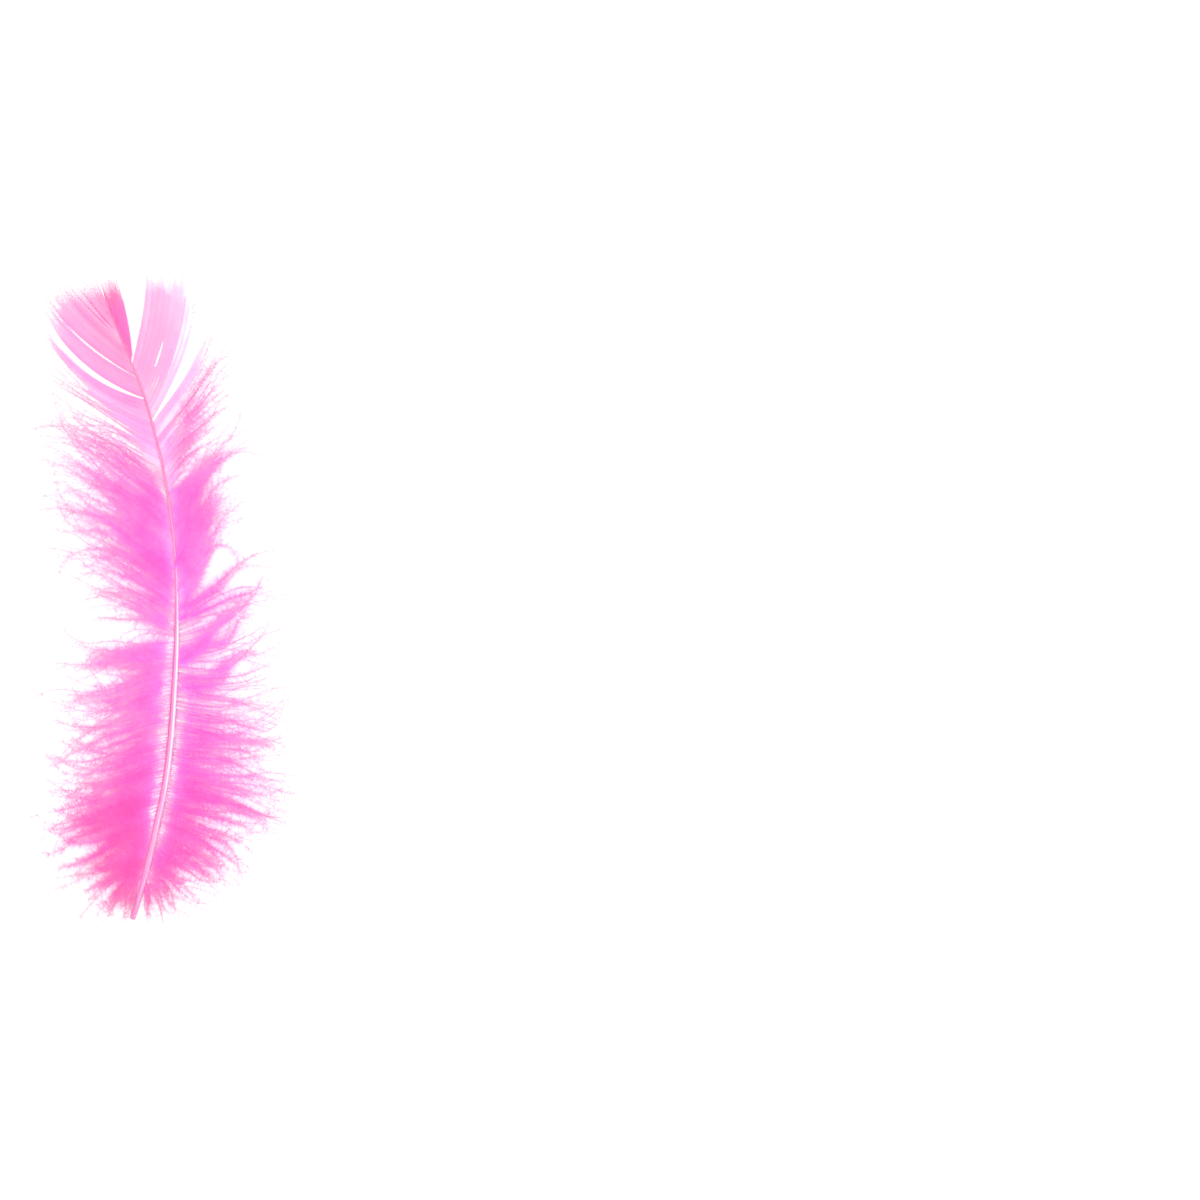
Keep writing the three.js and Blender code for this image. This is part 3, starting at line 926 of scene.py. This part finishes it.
def barb_material(name, lilac, rose, translucent, roughness, blotches):
    """Dyed keratin so thin that about half the light goes through it."""
    material = bpy.data.materials.new(name)
    material.use_nodes = True
    tree = material.node_tree
    tree.nodes.clear()
    link = tree.links.new
    depth = dye_depth(tree, BARB_BLOTCHES, blotches)
    colour = node(tree, "ShaderNodeMixRGB")
    link(attribute(tree, "rose"), colour.inputs["Fac"])
    link(coloured(tree, depth, lilac), colour.inputs["Color1"])
    link(coloured(tree, depth, rose), colour.inputs["Color2"])
    front = node(tree, "ShaderNodeBsdfPrincipled", Roughness=roughness, Specular_IOR_Level=0.2)
    through = tree.nodes.new("ShaderNodeBsdfTranslucent")
    link(colour.outputs["Color"], front.inputs["Base Color"])
    link(colour.outputs["Color"], through.inputs["Color"])
    mix = node(tree, "ShaderNodeMixShader", Fac=translucent)
    link(front.outputs[0], mix.inputs[1])
    link(through.outputs[0], mix.inputs[2])
    out = tree.nodes.new("ShaderNodeOutputMaterial")
    link(mix.outputs[0], out.inputs["Surface"])
    return material


def quill_material(stops):
    """Satin horn with fine streaks along the shaft."""
    material = bpy.data.materials.new("quill")
    material.use_nodes = True
    tree = material.node_tree
    front = tree.nodes["Principled BSDF"]
    front.inputs["Roughness"].default_value = 0.45
    front.inputs["Specular IOR Level"].default_value = 0.3
    front.inputs["Subsurface Weight"].default_value = 0.8
    front.inputs["Subsurface Radius"].default_value = (1.0, 0.7, 0.8)
    front.inputs["Subsurface Scale"].default_value = 0.5 * MM
    depth = dye_depth(tree, SHAFT_STREAKS, blotches=0.2)
    tree.links.new(coloured(tree, depth, stops), front.inputs["Base Color"])
    return material


def paper_material(stops):
    """Matt paper, a little uneven."""
    material = bpy.data.materials.new("floor")
    material.use_nodes = True
    tree = material.node_tree
    place = tree.nodes.new("ShaderNodeTexCoord")
    noise = node(tree, "ShaderNodeTexNoise", Scale=40.0, Detail=4.0)
    tree.links.new(place.outputs["Object"], noise.inputs["Vector"])
    front = tree.nodes["Principled BSDF"]
    front.inputs["Roughness"].default_value = 0.9
    tree.links.new(coloured(tree, noise.outputs["Fac"], stops), front.inputs["Base Color"])
    return material


def show(mesh, material, replaced):
    piece = bpy.data.objects.new(mesh.name, mesh)
    bpy.context.scene.collection.objects.link(piece)
    mesh.materials.append(material)
    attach(piece, "root")
    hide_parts(replaced)


# Colours by depth of dye, and of the paper by its noise.
LILAC = [
    (0.0, (0.995, 0.92, 0.96)), (0.3, (0.995, 0.56, 0.86)), (0.5, (0.995, 0.43, 0.85)),
    (0.7, (0.995, 0.32, 0.84)), (1.0, (0.995, 0.21, 0.78)),
]
PINK = [
    (0.0, (0.995, 0.92, 0.94)), (0.3, (0.995, 0.55, 0.74)), (0.5, (0.995, 0.43, 0.69)),
    (0.7, (0.995, 0.32, 0.64)), (1.0, (0.995, 0.2, 0.54)),
]
HORN = [
    (0.0, (0.80, 0.58, 0.71)), (0.3, (0.76, 0.42, 0.60)), (0.6, (0.70, 0.25, 0.43)),
    (1.0, (0.66, 0.13, 0.35)),
]
PAPER = [(0.3, (0.572, 0.572, 0.574)), (0.7, (0.58, 0.58, 0.582))]

# Shaft and barbs
show(shaft_mesh(), quill_material(HORN), "shaft")
looks = {
    "vane": barb_material("vane_barbs", LILAC, PINK, translucent=0.55, roughness=0.6, blotches=0.12),
    "down": barb_material("down_barbs", LILAC, PINK, translucent=0.5, roughness=0.8, blotches=0.4),
}
FIRST_SEED = 100
for seed, (name, tufts) in enumerate([*VANE.items(), *DOWN.items()], start=FIRST_SEED):
    rng = np.random.default_rng(seed)
    pile = Pile()
    for spec in tufts:
        add_barbs(pile, rng, tuft_barbs(rng, **spec))
    for spec in STRANDS.get(name, []):
        add_barbs(pile, rng, strand_barbs(rng, **spec))
    slot = "vane" if name in VANE else "down"
    show(pile.mesh(name.replace(slot, slot + "_barbs")), looks[slot], name)

# Floor, in metres
FLOOR_HALF = 9
floor_mesh = bpy.data.meshes.new("floor")
floor_corners = [(x * FLOOR_HALF, y * FLOOR_HALF, 0) for x, y in ((-1, -1), (1, -1), (1, 1), (-1, 1))]
floor_mesh.from_pydata(floor_corners, [], [(0, 1, 2, 3)])
floor_mesh.materials.append(paper_material(PAPER))
floor = bpy.data.objects.new("floor", floor_mesh)
bpy.context.scene.collection.objects.link(floor)

# Light: even from all round, and from a broad lamp far off in the camera's direction
world = bpy.data.worlds.new("studio")
world.use_nodes = True
background = world.node_tree.nodes["Background"]
background.inputs["Color"].default_value = (1, 1, 1, 1)
background.inputs["Strength"].default_value = 0.28
bpy.context.scene.world = world
lamp = bpy.data.lights.new("studio_lamp", "SUN")
lamp.angle = 0.16
lamp.energy = 5.2
studio_lamp = bpy.data.objects.new("studio_lamp", lamp)
studio_lamp.location = (0.13, 0.02, 1.0)
studio_lamp.rotation_euler = studio_lamp.location.to_track_quat("Z", "Y").to_euler()
bpy.context.scene.collection.objects.link(studio_lamp)

# Camera: straight down on the middle of the photograph, which lies to the right of the feather
eye = bpy.data.cameras.new("camera")
eye.lens = 100
eye.sensor_width = 36
camera = bpy.data.objects.new("camera", eye)
camera.location = (0.0805, -0.0004, 0.6167)
bpy.context.scene.collection.objects.link(camera)
bpy.context.scene.camera = camera
bpy.context.scene.view_settings.view_transform = "Standard"
